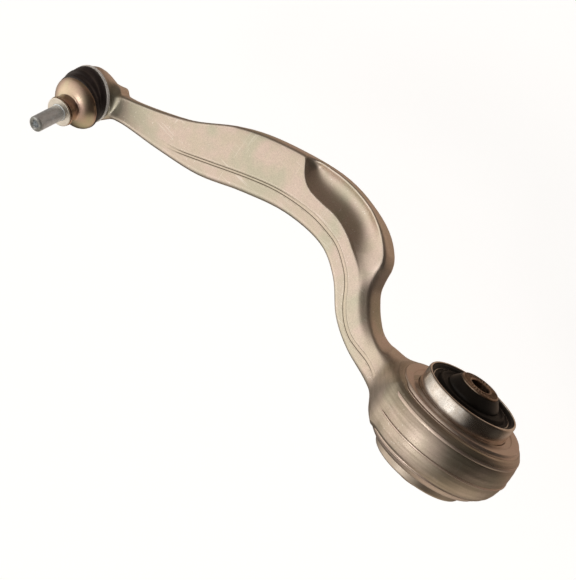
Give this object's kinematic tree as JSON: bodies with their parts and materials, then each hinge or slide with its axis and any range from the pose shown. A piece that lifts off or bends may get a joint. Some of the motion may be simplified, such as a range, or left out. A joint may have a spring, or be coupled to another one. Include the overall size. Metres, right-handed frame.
{
  "type": "suspension control arm",
  "caption": "Forged S-shaped control arm with a large hydraulic bush in a barrel boss at one end and a booted ball joint with a threaded stud at the other.",
  "frame": {"origin": "centre of the bush, on its axis and half-way along its can", "axes": "+X along the arm towards the ball joint, +Y along the bush axis away from the end that the picture shows, +Z normal to the arm plate on the side that the ball stud stands on"},
  "size_m": [0.4521, 0.1183, 0.115],
  "materials": {
    "forged_aluminium": "forged and blasted",
    "can_steel": "turned",
    "sleeve_steel": "phosphated, machined end faces",
    "core_moulding": "moulded, matt",
    "bush_rubber": "moulded, matt",
    "stop_plastic": "glass-filled",
    "cage_steel": "pressed",
    "channel_plastic": "moulded",
    "preload_elastomer": "moulded",
    "shell_plastic": "moulded",
    "ring_steel": "pressed",
    "seal_rubber": "moulded",
    "boot_rubber": "moulded, satin",
    "clamp_steel": "drawn spring wire",
    "neck_ring_steel": "drawn spring wire",
    "stud_steel": "ground",
    "collar_steel": "zinc flake",
    "zinc_steel": "yellow zinc plate, satin"
  },
  "bodies": {
    "bush_core": {"inner_sleeve": "sleeve_steel", "core_bulge": "core_moulding", "travel_stops": "stop_plastic"},
    "arm": {"arm_forging": "forged_aluminium", "outer_can": "can_steel", "main_rubber": "bush_rubber", "cage_ring": "cage_steel", "channel_shells": "channel_plastic", "preload_disc": "preload_elastomer", "bearing_shell": "shell_plastic", "retaining_ring": "ring_steel", "mouth_seal": "seal_rubber", "boot_cuff": "boot_rubber", "boot_clamp_ring": "clamp_steel"},
    "boot_middle": {"boot_fold": "boot_rubber"},
    "boot_top": {"boot_neck": "boot_rubber", "boot_neck_ring": "neck_ring_steel"},
    "stud": {"ball_stud": "stud_steel", "stud_collar": "collar_steel", "dome_shield": "zinc_steel"}
  },
  "joints": [
    {"name": "bush_twist", "type": "hinge", "parent": "bush_core", "child": "arm", "pos_m": [0, 0, 0], "axis": [0, 1, 0], "range_deg": [-15, 15], "stiffness_Nm_per_rad": 110},
    {"name": "stud_rock", "type": "hinge", "parent": "arm", "child": "boot_middle", "pos_m": [0.379, 0.002, 0.004], "axis": [-0.7356, 0.6418, -0.2168], "range_deg": [-12, 12], "deforming": ["boot_fold"]},
    {"name": "stud_swing", "type": "hinge", "parent": "boot_middle", "child": "boot_top", "pos_m": [0.379, 0.002, 0.004], "axis": [-0.6773, -0.7019, 0.2203], "range_deg": [-38, 10]},
    {"name": "stud_spin", "type": "hinge", "parent": "boot_top", "child": "stud", "pos_m": [0.379, 0.002, 0.004], "axis": [-0.1884, 0.4549, 0.8704], "continuous": true}
  ]
}
